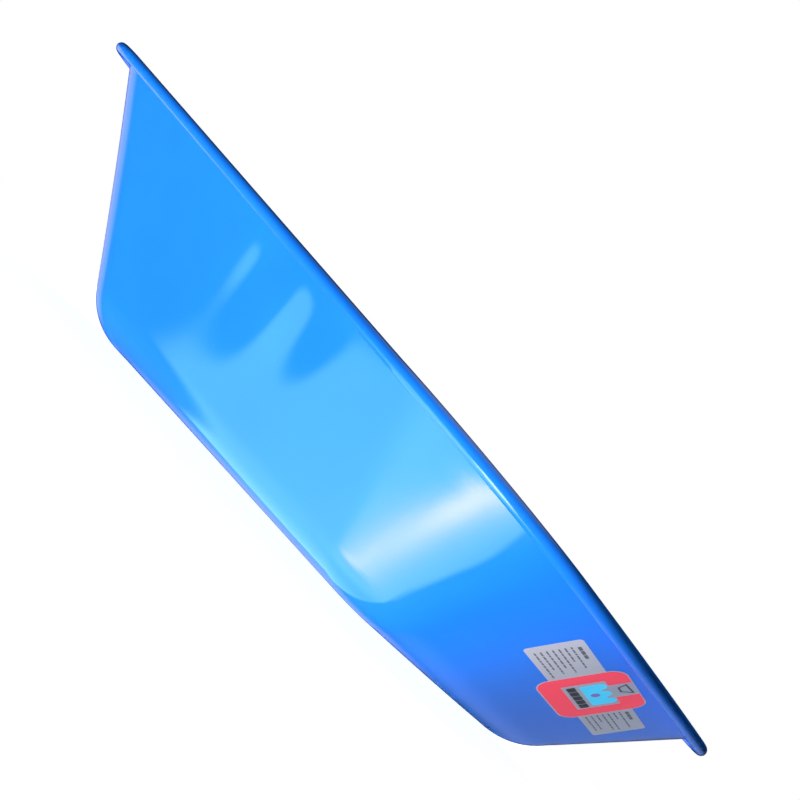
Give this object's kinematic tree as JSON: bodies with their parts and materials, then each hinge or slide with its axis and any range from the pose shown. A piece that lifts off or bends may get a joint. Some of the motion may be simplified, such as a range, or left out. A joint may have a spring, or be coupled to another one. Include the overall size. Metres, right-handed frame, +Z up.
{
  "type": "wheelbarrow tray",
  "caption": "Deep-drawn steel wheelbarrow tray with sloping walls, a deep nose and a rim rolled round a wire.",
  "frame": {"origin": "on the underside of the floor, in the middle of the tray's length and width", "axes": "+X towards the shallow end that carries the label, -X towards the deep nose over the wheel, +Z up out of the tray's mouth"},
  "size_m": [0.9582, 0.7612, 0.2717],
  "materials": {
    "blue_paint": "high gloss",
    "wire_steel": "drawn, bare",
    "label_film": "satin printed film"
  },
  "bodies": {
    "root": {"tray_pan": "blue_paint", "rim_wire": "wire_steel", "capacity_label": "label_film"}
  },
  "joints": []
}
